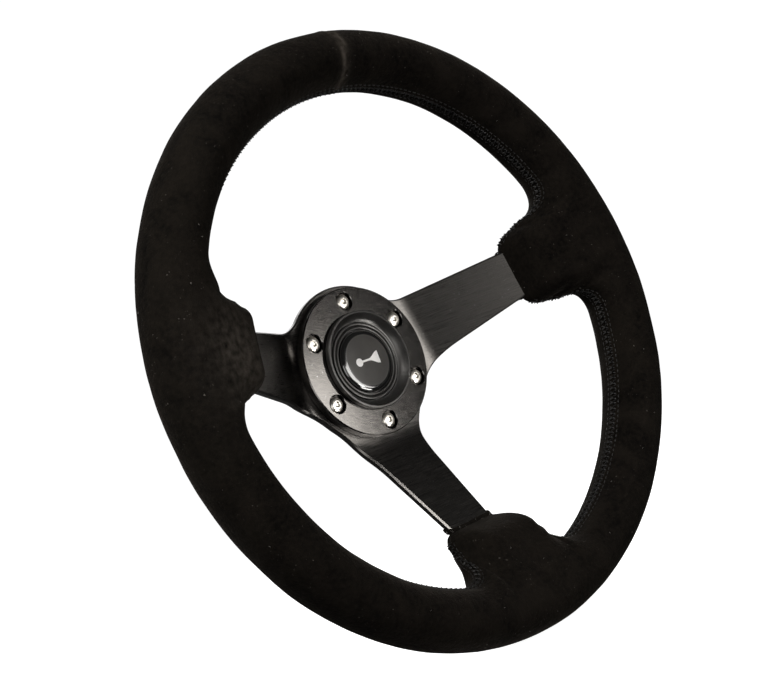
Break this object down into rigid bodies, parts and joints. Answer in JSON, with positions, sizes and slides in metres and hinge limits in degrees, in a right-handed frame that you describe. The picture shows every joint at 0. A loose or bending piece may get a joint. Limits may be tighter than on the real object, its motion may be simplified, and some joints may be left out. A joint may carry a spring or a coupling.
{
  "type": "steering wheel",
  "caption": "Deep-dish sports steering wheel: suede grip on a bent spoke plate, a screwed retaining ring and a sprung horn button in the hub.",
  "frame": {"origin": "centre of the hub plate's back face, the face that bolts to the steering hub", "axes": "+Y along the wheel's axis away from the driver, +X to the driver's right, +Z to 12 o'clock"},
  "size_m": [0.349, 0.1076, 0.3481],
  "materials": {
    "anodised_plate": "black anodised, brushed along the spokes",
    "anodised_ring": "black anodised, brushed across the face",
    "core_steel": "plain mill finish",
    "rivet_steel": "zinc plated",
    "grip_foam": "moulded polyurethane foam",
    "suede": "black suede nap with cross stitching",
    "screw_steel": "bright zinc, button head",
    "satin_black": "satin black",
    "gloss_black": "high gloss black",
    "housing_black": "moulded black",
    "insulator": "brown phenolic sheet",
    "contact_brass": "stamped brass",
    "spring_steel": "bright spring wire"
  },
  "bodies": {
    "wheel": {"spoke_plate": "anodised_plate", "rim_core_ring": "core_steel", "rim_rivet_1": "rivet_steel", "rim_rivet_2": "rivet_steel", "rim_rivet_3": "rivet_steel", "rim_rivet_4": "rivet_steel", "rim_rivet_5": "rivet_steel", "rim_rivet_6": "rivet_steel", "rim_foam": "grip_foam", "rim_cover": "suede", "hem_right": "suede", "hem_left": "suede", "hem_lower": "suede", "retaining_ring": "anodised_ring", "ring_screw_1": "screw_steel", "ring_screw_2": "screw_steel", "ring_screw_3": "screw_steel", "ring_screw_4": "screw_steel", "ring_screw_5": "screw_steel", "ring_screw_6": "screw_steel", "horn_bezel": "satin_black", "horn_cup": "housing_black", "horn_clip": "spring_steel", "horn_insulator": "insulator", "horn_contact_fixed": "contact_brass", "horn_spring": "spring_steel", "horn_terminal_live": "contact_brass", "horn_terminal_earth": "contact_brass"},
    "horn_button": {"horn_cap": "satin_black", "horn_dome": "gloss_black", "horn_contact_moving": "contact_brass"}
  },
  "joints": [
    {"name": "horn_press", "type": "slide", "parent": "wheel", "child": "horn_button", "axis": [0, 1, 0], "range_m": [0, 0.0022], "stiffness_N_per_m": 1500, "springref_m": -0.002, "deforming": ["horn_spring"]}
  ]
}
